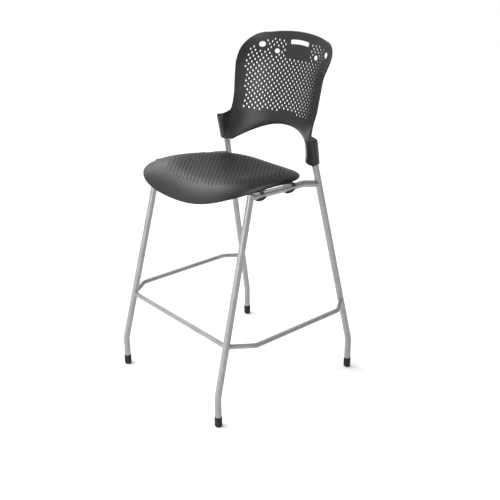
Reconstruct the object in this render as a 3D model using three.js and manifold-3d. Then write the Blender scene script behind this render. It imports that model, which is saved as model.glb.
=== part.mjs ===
// Bar-height stacking chair: welded round-tube frame, moulded seat and back shells, rubber feet.
// Millimetres, +Z up. The sitter faces -Y, with +X on the left hand.
// The origin is on the floor, centred between the feet.
import * as THREE from 'three';
import { mergeVertices } from 'three/addons/utils/BufferGeometryUtils.js';
import Module from 'manifold-3d';

const wasm = await Module();
wasm.setup();

// ---- driving dimensions ----
const GAP = 0.3; // clearance between neighbouring pieces
const LEG_RADIUS = 11; // 22 mm frame tube
const LEG_WALL = 1.6;
const BAR_RADIUS = 7.9; // foot bar and stretchers
const BAR_WALL = 1.4;
const CROSS_RADIUS = 9.5; // tubes under the seat
const TUBE_ARC = 6; // a full circle gets twice this many sides

const FOOT_HALF_DEPTH = 293.1; // front and rear feet from the origin, along Y
const FRONT_FOOT_X = 261;
const REAR_FOOT_X = 276;
const FRONT_KINK_Z = 107; // legs are vertical below the kink and lean above it
const REAR_KINK_Z = 111.6;
const RAIL_FRONT = new THREE.Vector3(237.3, -135.7, 732.5); // rail's axis meets the leg's
const RAIL_REAR = new THREE.Vector3(221.1, 104.4, 720.8); // the rails close in towards the rear
const RAIL_END = new THREE.Vector3(227.6, 166.5, 709); // on the rear upright's axis
const LEG_TOP_Z = 744.6; // the front leg's open end, under its cap
const RAIL_REAR_BEND = 40;
const KINK_BEND = 90;
const SLEEVE_FOOT = new THREE.Vector3(222.9, 153.3, 771); // rear upright's axis at the sleeve's mouth

const STRETCHER_Z = 271;
const STRETCHER_X = 309;
const STRETCHER_FRONT_Y = -175;
const STRETCHER_REAR_Y = 196;
const STRETCHER_BEND = 30;

const SLEEVE_MOUTH_UP = 7; // the sleeve starts this far above SLEEVE_FOOT
const SLEEVE_LENGTH = 92; // top of the sleeve above SLEEVE_FOOT
const UPRIGHT_INSIDE = 75; // how far the upright runs up inside its sleeve

const GLIDE_HEIGHT = 36;
const GLIDE_FLOOR = 6; // rubber under the tube's end
const GLIDE_RADIUS = 12.3;

const CROSS_FRONT = { y: -62, z: 727 };
const CROSS_REAR = { y: 64, z: 721 };

const SHELL = 4.2; // wall of the moulded shells

const SCREW_SHANK = 2.4; // radius
const SEAT_SCREW_X = 120;
const SEAT_SCREW_HEAD = 5.2;
const SEAT_SCREW_BITE = 12; // how far the tip stands above the cross tube
const SEAT_BOSS_RADIUS = 7;
const SLEEVE_SCREW_UP = 46; // along the sleeve from its mouth
const SLEEVE_SCREW_HEAD = 4.8;
const SLEEVE_SCREW_SEAT = 18; // head's underside from the upright's axis

const CLIP_WALL = 3;
const CLIP_LIP_RISE = 7; // a clip's lips stop this far above the rail's axis

// ---- materials ----
const powderCoat = new THREE.MeshStandardMaterial({ color: 0xa9aaac, roughness: 0.42, metalness: 0.55 });
const shellPlastic = new THREE.MeshStandardMaterial({ color: 0x35353a, roughness: 0.5, metalness: 0 });
const blackNylon = new THREE.MeshStandardMaterial({ color: 0x18181a, roughness: 0.55, metalness: 0 });
const blackRubber = new THREE.MeshStandardMaterial({ color: 0x141415, roughness: 0.75, metalness: 0 });
const zincSteel = new THREE.MeshStandardMaterial({ color: 0x8d9094, roughness: 0.35, metalness: 0.9 });

// ---- solids and meshes ----
function toSolid(geometry) {
  const bare = geometry.clone();
  bare.deleteAttribute('normal');
  bare.deleteAttribute('uv');
  const merged = mergeVertices(bare, 1e-3);
  const mesh = new wasm.Mesh({
    numProp: 3,
    vertProperties: new Float32Array(merged.attributes.position.array),
    triVerts: new Uint32Array(merged.index.array),
  });
  return new wasm.Manifold(mesh);
}

function toGeometry(solid) {
  const mesh = solid.getMesh();
  const geometry = new THREE.BufferGeometry();
  geometry.setAttribute('position', new THREE.BufferAttribute(new Float32Array(mesh.vertProperties), 3));
  geometry.setIndex(new THREE.BufferAttribute(new Uint32Array(mesh.triVerts), 1));
  geometry.computeVertexNormals();
  return geometry;
}

const chair = new THREE.Group();
chair.name = 'stacking_chair';

function addPart(name, solid, material) {
  const mesh = new THREE.Mesh(toGeometry(solid), material);
  mesh.name = name;
  chair.add(mesh);
}

const SIDES = [
  { name: 'left', sign: 1 },
  { name: 'right', sign: -1 },
];

function mirrored(point, sign) {
  return new THREE.Vector3(point.x * sign, point.y, point.z);
}

// ---- tubes along straight runs and round bends ----
class StationCurve extends THREE.Curve {
  constructor(stations) {
    super();
    this.stations = stations;
  }

  getPoint(t) {
    const last = this.stations.length - 1;
    const index = Math.min(Math.round(t * last), last);
    return this.stations[index].clone();
  }

  getPointAt(t) {
    return this.getPoint(t);
  }

  getTangentAt(t) {
    const last = this.stations.length - 1;
    const index = Math.min(Math.round(t * last), last);
    const ahead = this.stations[Math.min(index + 1, last)];
    const behind = this.stations[Math.max(index - 1, 0)];
    return ahead.clone().sub(behind).normalize();
  }
}

// Straight runs between the corners, with an arc of the given radius at each inner corner.
function bentPath(corners, radius, arcSteps = 6) {
  const stations = [corners[0].clone()];
  for (let i = 1; i < corners.length - 1; i += 1) {
    const incoming = corners[i].clone().sub(corners[i - 1]).normalize();
    const outgoing = corners[i + 1].clone().sub(corners[i]).normalize();
    const turn = incoming.angleTo(outgoing);
    const reach = radius * Math.tan(turn / 2);
    const start = corners[i].clone().addScaledVector(incoming, -reach);
    const inward = outgoing.clone().addScaledVector(incoming, -incoming.dot(outgoing)).normalize();
    const centre = start.clone().addScaledVector(inward, radius);
    for (let k = 0; k <= arcSteps; k += 1) {
      const angle = (turn * k) / arcSteps;
      const spoke = inward.clone().multiplyScalar(-Math.cos(angle));
      spoke.addScaledVector(incoming, Math.sin(angle));
      stations.push(centre.clone().addScaledVector(spoke, radius));
    }
  }
  stations.push(corners[corners.length - 1].clone());
  return stations;
}

function sweep(stations, radius, innerRadius = 0) {
  const section = new THREE.Shape();
  section.absarc(0, 0, radius, 0, Math.PI * 2);
  if (innerRadius > 0) {
    const bore = new THREE.Path();
    bore.absarc(0, 0, innerRadius, 0, Math.PI * 2);
    section.holes.push(bore);
  }
  const geometry = new THREE.ExtrudeGeometry(section, {
    steps: stations.length - 1,
    curveSegments: TUBE_ARC,
    extrudePath: new StationCurve(stations),
  });
  return toSolid(geometry);
}

function rod(start, end, radius) {
  return sweep([start.clone(), end.clone()], radius);
}

// ---- turned pieces: [radius, height] points spun about an axis that runs from base along direction ----
function turned(profile, base, direction, segments = 16) {
  const points = profile.map(([radius, height]) => new THREE.Vector2(radius, height));
  const geometry = new THREE.LatheGeometry(points, segments);
  const spin = new THREE.Quaternion().setFromUnitVectors(new THREE.Vector3(0, 1, 0), direction);
  geometry.applyQuaternion(spin);
  geometry.translate(base.x, base.y, base.z);
  return toSolid(geometry);
}

// ---- frame lines ----
function frontLegAt(z) {
  const kink = new THREE.Vector3(FRONT_FOOT_X, -FOOT_HALF_DEPTH, FRONT_KINK_Z);
  return kink.clone().lerp(RAIL_FRONT, (z - kink.z) / (RAIL_FRONT.z - kink.z));
}

const rearKink = new THREE.Vector3(REAR_FOOT_X, FOOT_HALF_DEPTH, REAR_KINK_Z);
const uprightDirection = SLEEVE_FOOT.clone().sub(rearKink).normalize();

function uprightAt(z) {
  return rearKink.clone().addScaledVector(uprightDirection, (z - rearKink.z) / uprightDirection.z);
}

function alongSleeve(distance) {
  return SLEEVE_FOOT.clone().addScaledVector(uprightDirection, distance);
}

function uprightCorners(sign) {
  const foot = new THREE.Vector3(REAR_FOOT_X, FOOT_HALF_DEPTH, GLIDE_FLOOR + GAP);
  return [foot, rearKink, alongSleeve(UPRIGHT_INSIDE)].map((point) => mirrored(point, sign));
}

// The front leg runs straight to its open top; the seat rail is welded into its rear side.
// overrun lengthens every end, for the bore.
function legAndRail(sign, radius, overrun = 0) {
  const foot = new THREE.Vector3(FRONT_FOOT_X, -FOOT_HALF_DEPTH, GLIDE_FLOOR + GAP - overrun);
  const kink = new THREE.Vector3(FRONT_FOOT_X, -FOOT_HALF_DEPTH, FRONT_KINK_Z);
  const railEnd = RAIL_END.clone().sub(RAIL_REAR).setLength(overrun).add(RAIL_END);
  const legCorners = [foot, kink, frontLegAt(LEG_TOP_Z + overrun)].map((point) => mirrored(point, sign));
  const railCorners = [RAIL_FRONT, RAIL_REAR, railEnd].map((point) => mirrored(point, sign));
  const rail = sweep(bentPath(railCorners, RAIL_REAR_BEND, 6), radius);
  return sweep(bentPath(legCorners, KINK_BEND, 5), radius).add(rail);
}

// Room above the leg's end for the cap, through anything near it.
function capSpace(sign, height, overlap = 0) {
  const heights = [LEG_TOP_Z - overlap, LEG_TOP_Z + height];
  const ends = heights.map((z) => mirrored(frontLegAt(z), sign));
  return rod(ends[0], ends[1], LEG_RADIUS + GAP);
}

function uprightStations(sign) {
  return bentPath(uprightCorners(sign), KINK_BEND, 4);
}

function stretcherStations(sign) {
  const corners = [
    frontLegAt(STRETCHER_Z),
    new THREE.Vector3(STRETCHER_X, STRETCHER_FRONT_Y, STRETCHER_Z),
    new THREE.Vector3(STRETCHER_X, STRETCHER_REAR_Y, STRETCHER_Z),
    uprightAt(STRETCHER_Z),
  ];
  return bentPath(corners.map((point) => mirrored(point, sign)), STRETCHER_BEND, 5);
}

// ---- back shell: a surface y(x, z), wrapped forward at the sides and reclined ----
const BACK_TOP = 1152;
const BACK_CORNER_Z = 1140;
const BACK_SIDE_Z = 1077; // widest level, where the top corners begin
const BACK_HALF_WIDTH = 212;
const BACK_TOP_HALF = 137;
const BACK_WAIST_Z = 900;
const BACK_WAIST_HALF = 198;
const BACK_ARCH_Z = 846;
const BACK_ARCH_DROP = 74;
const BACK_ARCH_HALF = 190;
const BACK_FOOT_Z = 776;
const SLEEVE_TOP_Z = 861;
const RECLINE = 0.2153;
const BACK_CENTRE_Y = 289.15; // centre line at z = 1120
const ARCH_LIP = { depth: 6, width: 30, fullX: 105, endX: 165 }; // the arch's edge turns back
const WING_STAND = 1; // the wings lie this far in front of the sleeves
const WING_BLEND = 9;
const HAND_SLOT = { half: 44, z: 1118.5, halfHeight: 7.2, sag: 3, corner: 4.5 };
const BACK_OVALS = [
  { x: 151.5, z: 1099, halfWidth: 13, halfHeight: 9.2 },
  { x: 92.5, z: 1081.5, halfWidth: 11, halfHeight: 8 },
];

function smoothStep(low, high, value) {
  const t = Math.min(Math.max((value - low) / (high - low), 0), 1);
  return t * t * (3 - 2 * t);
}

function softMax(a, b, blend) {
  const h = Math.min(Math.max(0.5 + (a - b) / (2 * blend), 0), 1);
  return b + (a - b) * h + blend * h * (1 - h);
}

function archEdge(x) {
  return BACK_ARCH_Z - BACK_ARCH_DROP * (Math.abs(x) / BACK_ARCH_HALF) ** 2.15;
}

// How far a sleeve reaches from the upright's axis, at a height between its mouth and its top.
function sleeveReach(travel) {
  const up = Math.min(Math.max(travel / SLEEVE_LENGTH, 0), 1);
  return { forward: 15.5 + 1.5 * up, rearward: 14.5 + 13 * up, sideways: 14.5 + 5 * up };
}

function archLip(x, z) {
  const low = Math.min(Math.max(1 - (z - archEdge(x)) / ARCH_LIP.width, 0), 1.3);
  return ARCH_LIP.depth * low ** 2 * (1 - smoothStep(ARCH_LIP.fullX, ARCH_LIP.endX, Math.abs(x)));
}

function backDepth(x, z) {
  const upper = smoothStep(1030, 1125, z);
  const lower = 1 - smoothStep(890, 940, z);
  const round = 0.00153 - 0.00063 * upper + 0.00018 * lower;
  const wing = 1.2e-8;
  const plain = BACK_CENTRE_Y + RECLINE * (z - 1120) - round * x * x - wing * x ** 4 + archLip(x, z);
  if (z > SLEEVE_TOP_Z + 60) return plain;
  const travel = (z - SLEEVE_FOOT.z) / uprightDirection.z;
  const axisY = SLEEVE_FOOT.y + uprightDirection.y * travel;
  const flush = axisY - sleeveReach(travel).forward / uprightDirection.z - WING_STAND;
  return softMax(plain, flush, WING_BLEND);
}

function backHalfWidth(level) {
  if (level > BACK_SIDE_Z) {
    const rise = (level - BACK_SIDE_Z) / (BACK_CORNER_Z - BACK_SIDE_Z);
    const corner = Math.sqrt(Math.max(0, 1 - rise * rise));
    return BACK_TOP_HALF + (BACK_HALF_WIDTH - BACK_TOP_HALF) * corner;
  }
  if (level > BACK_WAIST_Z) {
    const rise = (level - BACK_WAIST_Z) / (BACK_SIDE_Z - BACK_WAIST_Z);
    return BACK_WAIST_HALF + (BACK_HALF_WIDTH - BACK_WAIST_HALF) * rise ** 0.75;
  }
  const fall = Math.min((BACK_WAIST_Z - level) / (BACK_WAIST_Z - SLEEVE_TOP_Z), 1);
  return BACK_WAIST_HALF + 10 * fall * fall;
}

function backLowerEdge(x) {
  return Math.max(archEdge(x), BACK_FOOT_Z);
}

function backUpperEdge(x) {
  return BACK_TOP - (BACK_TOP - BACK_CORNER_Z) * Math.min(Math.abs(x) / BACK_TOP_HALF, 1) ** 2;
}

// across runs -1 to 1, up runs 0 to 1, back is 0 on the sitter's face and 1 on the rear face
function backPoint(across, up, back) {
  const eased = 1 - (1 - up) ** 1.35;
  const level = BACK_FOOT_Z + eased * (BACK_CORNER_Z - BACK_FOOT_Z);
  const x = across * backHalfWidth(level);
  const low = backLowerEdge(x);
  const z = low + eased * (backUpperEdge(x) - low);
  const step = 0.5;
  const slopeX = (backDepth(x + step, z) - backDepth(x - step, z)) / (2 * step);
  const slopeZ = (backDepth(x, z + step) - backDepth(x, z - step)) / (2 * step);
  const normal = new THREE.Vector3(-slopeX, 1, -slopeZ).normalize();
  return new THREE.Vector3(x, backDepth(x, z), z).addScaledVector(normal, back * SHELL);
}

function bentPlate(columns, rows, pointAt) {
  const geometry = new THREE.BoxGeometry(2, 1, 1, columns, 1, rows);
  const position = geometry.attributes.position;
  for (let i = 0; i < position.count; i += 1) {
    const across = position.getX(i);
    const up = position.getZ(i) + 0.5;
    const back = position.getY(i) + 0.5;
    const point = pointAt(across, up, back);
    position.setXYZ(i, point.x, point.y, point.z);
  }
  return toSolid(geometry);
}

function cutAlongY(shape) {
  const settings = { depth: 200, bevelEnabled: false, curveSegments: 8 };
  const geometry = new THREE.ExtrudeGeometry(shape, settings);
  geometry.rotateX(Math.PI / 2);
  geometry.translate(0, 380, 0);
  return toSolid(geometry);
}

// A lens-shaped grip with round ends, bowed upward in the middle.
function handSlot() {
  const { half, z, halfHeight, sag, corner } = HAND_SLOT;
  const low = z - halfHeight - sag;
  const high = z + halfHeight - sag;
  const shape = new THREE.Shape();
  shape.moveTo(-half, low + corner);
  shape.quadraticCurveTo(-half, low, -half + corner, low);
  shape.quadraticCurveTo(0, low + 1.6 * sag, half - corner, low);
  shape.quadraticCurveTo(half, low, half, low + corner);
  shape.lineTo(half, high - corner);
  shape.quadraticCurveTo(half, high, half - corner, high);
  shape.quadraticCurveTo(0, high + 2 * sag, -half + corner, high);
  shape.quadraticCurveTo(-half, high, -half, high - corner);
  shape.closePath();
  return cutAlongY(shape);
}

function ovalHole(x, z, halfWidth, halfHeight) {
  const shape = new THREE.Shape();
  shape.absellipse(x, z, halfWidth, halfHeight, 0, Math.PI * 2);
  return cutAlongY(shape);
}

const SLEEVE_ROOF = 7; // plastic above the upright's bore

// The sleeve's outline as [share of its full reach, height], widened unevenly about the upright.
function sleeveBody(sign) {
  const profile = [[0, SLEEVE_MOUTH_UP], [0.9, SLEEVE_MOUTH_UP], [1, SLEEVE_MOUTH_UP + 2], [1, 50],
    [1, SLEEVE_LENGTH - 6], [0.95, SLEEVE_LENGTH - 2], [0.85, SLEEVE_LENGTH], [0, SLEEVE_LENGTH]];
  const geometry = new THREE.LatheGeometry(profile.map(([r, h]) => new THREE.Vector2(r, h)), 20);
  const position = geometry.attributes.position;
  for (let i = 0; i < position.count; i += 1) {
    const reach = sleeveReach(position.getY(i));
    const depth = position.getZ(i) > 0 ? reach.forward : reach.rearward;
    position.setX(i, position.getX(i) * reach.sideways);
    position.setZ(i, position.getZ(i) * depth);
  }
  const up = new THREE.Vector3(0, 1, 0);
  const lean = new THREE.Quaternion().setFromUnitVectors(up, mirrored(uprightDirection, sign));
  geometry.applyQuaternion(lean);
  const foot = mirrored(SLEEVE_FOOT, sign);
  geometry.translate(foot.x, foot.y, foot.z);
  return toSolid(geometry);
}

// The sleeve screw points straight out of the rear of the sleeve, square to the upright.
function sleeveScrewFrame(sign) {
  const direction = mirrored(uprightDirection, sign);
  const outward = new THREE.Vector3(0, 1, 0);
  outward.addScaledVector(direction, -outward.dot(direction)).normalize();
  const centre = mirrored(alongSleeve(SLEEVE_SCREW_UP), sign);
  return { centre, outward };
}

function backShell() {
  let shell = bentPlate(28, 20, backPoint);
  for (const { sign } of SIDES) shell = shell.add(sleeveBody(sign));
  for (const { sign } of SIDES) {
    const boreStart = mirrored(alongSleeve(-20), sign);
    const boreEnd = mirrored(alongSleeve(SLEEVE_LENGTH - SLEEVE_ROOF), sign);
    shell = shell.subtract(rod(boreStart, boreEnd, LEG_RADIUS + GAP));
    const { centre, outward } = sleeveScrewFrame(sign);
    shell = shell.subtract(rod(centre, centre.clone().addScaledVector(outward, 60), SCREW_SHANK + GAP));
    const seat = centre.clone().addScaledVector(outward, SLEEVE_SCREW_SEAT);
    shell = shell.subtract(rod(seat, seat.clone().addScaledVector(outward, 20), SLEEVE_SCREW_HEAD + GAP));
  }
  shell = shell.subtract(handSlot());
  for (const { sign } of SIDES) {
    for (const oval of BACK_OVALS) {
      shell = shell.subtract(ovalHole(sign * oval.x, oval.z, oval.halfWidth, oval.halfHeight));
    }
  }
  return shell;
}

// ---- seat shell: a rounded plan outline, a saddle on top and a waterfall front ----
const SEAT = {
  halfWidth: 225,
  front: 257.4,
  rear: 182,
  centreY: -6.8,
  centreZ: 746.3,
  frontPower: 3.5,
  rearPower: 3.68,
  taper: 0.156,
  pitch: -9.44,
  dip: -4.76,
  saddle: 15.1,
  saddleTwist: -8.54,
  frontDrop: 50.5,
  sideDrop: 19.9,
  rearDrop: 11.8,
  edgeStart: 0.545,
  edgePower: 2.535,
  roll: 7, // how far the side edges turn down
  rollStart: 0.94,
};

// spread runs 0 at the middle to 1 at the rim, turn is the angle from the rear towards +X
function seatTop(spread, turn) {
  const rearward = Math.cos(turn);
  const sideways = Math.sin(turn);
  const power = rearward > 0 ? SEAT.rearPower : SEAT.frontPower;
  const reach = rearward > 0 ? SEAT.rear : SEAT.front;
  const planX = Math.sign(sideways) * Math.abs(sideways) ** (2 / power);
  const planY = Math.sign(rearward) * Math.abs(rearward) ** (2 / power);
  const y = SEAT.centreY + spread * reach * planY;
  const x = spread * SEAT.halfWidth * planX * (1 - SEAT.taper * planY * spread);
  const along = (y - SEAT.centreY) / 200;
  const drop = SEAT.sideDrop
    + (SEAT.frontDrop - SEAT.sideDrop) * Math.max(-planY, 0) ** 1.5
    + (SEAT.rearDrop - SEAT.sideDrop) * Math.max(planY, 0) ** 2;
  const edge = Math.max((spread - SEAT.edgeStart) / (1 - SEAT.edgeStart), 0) ** SEAT.edgePower;
  const saddle = (SEAT.saddle + SEAT.saddleTwist * along) * (x / 200) ** 2;
  const nearRim = Math.max((spread - SEAT.rollStart) / (1 - SEAT.rollStart), 0);
  const roll = SEAT.roll * Math.max(1 - 1.6 * planY ** 2, 0) * nearRim ** 2;
  const z = SEAT.centreZ + SEAT.pitch * along + SEAT.dip * along ** 2 + saddle - drop * edge - roll;
  return new THREE.Vector3(x, y, z);
}

function seatPoint(spread, turn, depth) {
  const point = seatTop(spread, turn);
  if (depth === 0) return point;
  if (spread < 1e-6) return point.add(new THREE.Vector3(0, 0, -depth));
  const step = 0.01;
  const alongSpread = seatTop(spread + step / 2, turn).sub(seatTop(Math.max(spread - step / 2, 0), turn));
  const alongTurn = seatTop(spread, turn + step).sub(seatTop(spread, turn - step));
  const normal = alongTurn.cross(alongSpread).normalize();
  if (normal.z < 0) normal.negate();
  return point.addScaledVector(normal, -depth);
}

function seatBody() {
  const rings = 11;
  const profile = [];
  for (let i = 0; i <= rings; i += 1) profile.push(new THREE.Vector2((i / rings) ** 0.8, 0));
  for (let i = rings; i >= 0; i -= 1) profile.push(new THREE.Vector2((i / rings) ** 0.8, -SHELL));
  const geometry = new THREE.LatheGeometry(profile, 48);
  const position = geometry.attributes.position;
  for (let i = 0; i < position.count; i += 1) {
    const spread = Math.hypot(position.getX(i), position.getZ(i));
    const turn = Math.atan2(position.getX(i), position.getZ(i));
    const point = seatPoint(spread, turn, -position.getY(i));
    position.setXYZ(i, point.x, point.y, point.z);
  }
  return toSolid(geometry);
}

function seatScrewSpots() {
  const spots = [];
  for (const [row, tube] of [['front', CROSS_FRONT], ['rear', CROSS_REAR]]) {
    for (const { name, sign } of SIDES) {
      spots.push({ name: `${row}_${name}`, x: sign * SEAT_SCREW_X, y: tube.y, tubeZ: tube.z });
    }
  }
  return spots;
}

function seatHeightAt(x, y) {
  const along = (y - SEAT.centreY) / 200;
  const saddle = (SEAT.saddle + SEAT.saddleTwist * along) * (x / 200) ** 2;
  return SEAT.centreZ + SEAT.pitch * along + SEAT.dip * along ** 2 + saddle;
}

// ---- clips and bumpers on the rails ----
const railDirection = RAIL_REAR.clone().sub(RAIL_FRONT).normalize();

function railAt(y) {
  return RAIL_FRONT.clone().lerp(RAIL_REAR, (y - RAIL_FRONT.y) / (RAIL_REAR.y - RAIL_FRONT.y));
}

// A saddle over the top of the rail.
function railClip(sign, y, length, growth = 0) {
  const half = length / 2 + growth;
  const start = mirrored(railAt(y).addScaledVector(railDirection, -half), sign);
  const end = mirrored(railAt(y).addScaledVector(railDirection, half), sign);
  const ring = sweep([start, end], LEG_RADIUS + CLIP_WALL + growth);
  const boxHeight = 40;
  const lowBox = new THREE.BoxGeometry(60, length * 3, boxHeight);
  lowBox.translate(start.x, y, railAt(y).z - boxHeight / 2 + CLIP_LIP_RISE - growth);
  const saddle = ring.subtract(toSolid(lowBox));
  if (growth > 0) return saddle;
  return saddle.subtract(legAndRail(sign, LEG_RADIUS + GAP));
}

// A leg's cap as [radius, height] above the tube's end: a ribless stem below, a flat head above.
const CAP_STEM = LEG_RADIUS - LEG_WALL - 2 * GAP;
const LEG_CAP = [[0, -8], [CAP_STEM - 1, -8], [CAP_STEM, -6], [CAP_STEM, 0],
  [LEG_RADIUS - 0.6, 0], [LEG_RADIUS - 0.6, 1.6], [LEG_RADIUS - 1.4, 2.4], [0, 2.4]];

const BUMPER_WIDTH = 20;

// A boat-shaped pad under the rail, hollowed on top to the tube's curve.
function stackingBumper(sign, y) {
  const { x, z } = railAt(y);
  const shape = new THREE.Shape();
  shape.moveTo(-23, -4);
  shape.lineTo(-21, -9.5);
  shape.quadraticCurveTo(-14, -15.5, -8, -17.5);
  shape.quadraticCurveTo(0, -18.5, 8, -17.5);
  shape.quadraticCurveTo(16, -15.5, 23, -11);
  shape.lineTo(20, -4);
  shape.closePath();
  const extrusion = { depth: BUMPER_WIDTH, bevelEnabled: false, curveSegments: 5 };
  const geometry = new THREE.ExtrudeGeometry(shape, extrusion);
  geometry.translate(0, 0, -BUMPER_WIDTH / 2);
  // shape X runs along the rail, shape Y is up, the extrusion runs across the rail
  geometry.applyMatrix4(new THREE.Matrix4().set(0, 0, 1, 0, 1, 0, 0, 0, 0, 1, 0, 0, 0, 0, 0, 1));
  geometry.translate(sign * x, y, z);
  return toSolid(geometry).subtract(legAndRail(sign, LEG_RADIUS + GAP));
}

const CLIPS = [
  { name: 'front', y: -94.5, length: 13 },
  { name: 'rear', y: 46.5, length: 14 },
];
const BUMPERS = [
  { name: 'front', y: -95.5 },
  { name: 'rear', y: 33 },
];

// ---- fasteners ----
function panScrew(length, shank, head, headHeight) {
  return [[0, -length], [shank * 0.55, -length], [shank, -length + 2.5], [shank, 0], [head, 0],
    [head, headHeight * 0.45], [head * 0.72, headHeight], [0, headHeight]];
}

function seatScrew({ x, y, tubeZ }) {
  const profile = panScrew(2 * CROSS_RADIUS + SEAT_SCREW_BITE, SCREW_SHANK, SEAT_SCREW_HEAD, 3);
  const base = new THREE.Vector3(x, y, tubeZ - CROSS_RADIUS - GAP);
  return turned(profile, base, new THREE.Vector3(0, 0, -1), 12);
}

// ---- assemble ----
for (const { name, sign } of SIDES) {
  const upright = sweep(uprightStations(sign), LEG_RADIUS, LEG_RADIUS - LEG_WALL);
  const uprightGrown = sweep(uprightStations(sign), LEG_RADIUS + GAP);
  const legRailOuter = legAndRail(sign, LEG_RADIUS).subtract(capSpace(sign, 20));
  const legRailBore = legAndRail(sign, LEG_RADIUS - LEG_WALL, 5);
  const legRail = legRailOuter.subtract(legRailBore).subtract(uprightGrown);
  const legRailGrown = legAndRail(sign, LEG_RADIUS + GAP);
  const { centre, outward } = sleeveScrewFrame(sign);
  const screwHole = rod(centre, centre.clone().addScaledVector(outward, 40), SCREW_SHANK + GAP);
  addPart(`${name}_leg_and_rail_tube`, legRail, powderCoat);
  addPart(`${name}_rear_upright_tube`, upright.subtract(screwHole), powderCoat);

  const stretcher = sweep(stretcherStations(sign), BAR_RADIUS, BAR_RADIUS - BAR_WALL);
  addPart(`${name}_side_stretcher`, stretcher.subtract(legRailGrown).subtract(uprightGrown), powderCoat);

  const screw = panScrew(12, SCREW_SHANK, SLEEVE_SCREW_HEAD, 2.6);
  const screwBase = centre.clone().addScaledVector(outward, SLEEVE_SCREW_SEAT + GAP);
  addPart(`${name}_sleeve_screw`, turned(screw, screwBase, outward, 12), zincSteel);

  const stem = LEG_RADIUS - LEG_WALL - 2 * GAP;
  const plug = [[0, -12], [stem - 1, -12], [stem, -9], [stem, 0],
    [LEG_RADIUS - GAP, 0], [LEG_RADIUS - GAP, 2.2], [0, 2.2]];
  const plugBase = mirrored(alongSleeve(UPRIGHT_INSIDE + GAP), sign);
  const plugSolid = turned(plug, plugBase, mirrored(uprightDirection, sign), 16);
  addPart(`${name}_upright_end_plug`, plugSolid, blackNylon);

  const legWay = mirrored(frontLegAt(LEG_TOP_Z).sub(frontLegAt(0)).normalize(), sign);
  const legTop = mirrored(frontLegAt(LEG_TOP_Z), sign).addScaledVector(legWay, GAP);
  addPart(`${name}_leg_top_cap`, turned(LEG_CAP, legTop, legWay, 16), blackNylon);

  for (const clip of CLIPS) {
    addPart(`${name}_${clip.name}_seat_clip`, railClip(sign, clip.y, clip.length), blackNylon);
  }
  for (const bumper of BUMPERS) {
    addPart(`${name}_${bumper.name}_stacking_bumper`, stackingBumper(sign, bumper.y), blackRubber);
  }

  const boreRadius = LEG_RADIUS + GAP;
  const glide = [[0, 0], [GLIDE_RADIUS - 2.8, 0], [GLIDE_RADIUS - 0.8, 2.2], [GLIDE_RADIUS, 7],
    [GLIDE_RADIUS, GLIDE_HEIGHT - 3], [GLIDE_RADIUS - 0.4, GLIDE_HEIGHT],
    [boreRadius, GLIDE_HEIGHT], [boreRadius, GLIDE_FLOOR], [0, GLIDE_FLOOR]];
  const up = new THREE.Vector3(0, 0, 1);
  const frontFoot = new THREE.Vector3(sign * FRONT_FOOT_X, -FOOT_HALF_DEPTH, 0);
  const rearFoot = new THREE.Vector3(sign * REAR_FOOT_X, FOOT_HALF_DEPTH, 0);
  addPart(`${name}_front_foot_glide`, turned(glide, frontFoot, up), blackRubber);
  addPart(`${name}_rear_foot_glide`, turned(glide, rearFoot, up), blackRubber);
}

function crossBar(centreY, z, halfLength, radius, wall) {
  const start = new THREE.Vector3(-halfLength, centreY, z);
  const end = new THREE.Vector3(halfLength, centreY, z);
  let bar = sweep([start, end], radius, radius - wall);
  for (const { sign } of SIDES) bar = bar.subtract(legAndRail(sign, LEG_RADIUS + GAP));
  return bar;
}

const barLeg = frontLegAt(STRETCHER_Z);
addPart('front_foot_bar', crossBar(barLeg.y, STRETCHER_Z, barLeg.x, BAR_RADIUS, BAR_WALL), powderCoat);

const spots = seatScrewSpots();
for (const [name, tube] of [['front', CROSS_FRONT], ['rear', CROSS_REAR]]) {
  let bar = crossBar(tube.y, tube.z, railAt(tube.y).x, CROSS_RADIUS, LEG_WALL);
  for (const spot of spots.filter((entry) => entry.y === tube.y)) {
    const low = new THREE.Vector3(spot.x, spot.y, tube.z - 30);
    bar = bar.subtract(rod(low, low.clone().setZ(tube.z + 30), SCREW_SHANK + GAP));
  }
  addPart(`${name}_seat_cross_tube`, bar, powderCoat);
}

// Each boss hangs from the seat, sits over its cross tube and takes a screw from below.
let seat = seatBody();
for (const spot of spots) {
  const foot = new THREE.Vector3(spot.x, spot.y, spot.tubeZ);
  const top = foot.clone().setZ(seatHeightAt(spot.x, spot.y) - SHELL / 2);
  seat = seat.add(rod(foot, top, SEAT_BOSS_RADIUS));
  const tubeStart = foot.clone().setX(spot.x / 2);
  const tubeEnd = foot.clone().setX(spot.x * 1.9);
  seat = seat.subtract(rod(tubeStart, tubeEnd, CROSS_RADIUS + GAP));
  const pilotTop = foot.clone().setZ(spot.tubeZ + CROSS_RADIUS + SEAT_SCREW_BITE + 2 * GAP);
  seat = seat.subtract(rod(foot, pilotTop, SCREW_SHANK + GAP));
}
for (const { sign } of SIDES) {
  seat = seat.subtract(legAndRail(sign, LEG_RADIUS + GAP));
  seat = seat.subtract(capSpace(sign, 3.1, 4));
  for (const clip of CLIPS) seat = seat.subtract(railClip(sign, clip.y, clip.length, GAP));
}
addPart('seat_shell', seat, shellPlastic);
addPart('back_shell', backShell(), shellPlastic);
for (const spot of spots) addPart(`${spot.name}_seat_screw`, seatScrew(spot), zincSteel);

export default chair;
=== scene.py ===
import math

import bpy
import numpy as np
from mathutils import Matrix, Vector
from mathutils.geometry import delaunay_2d_cdt


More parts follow.
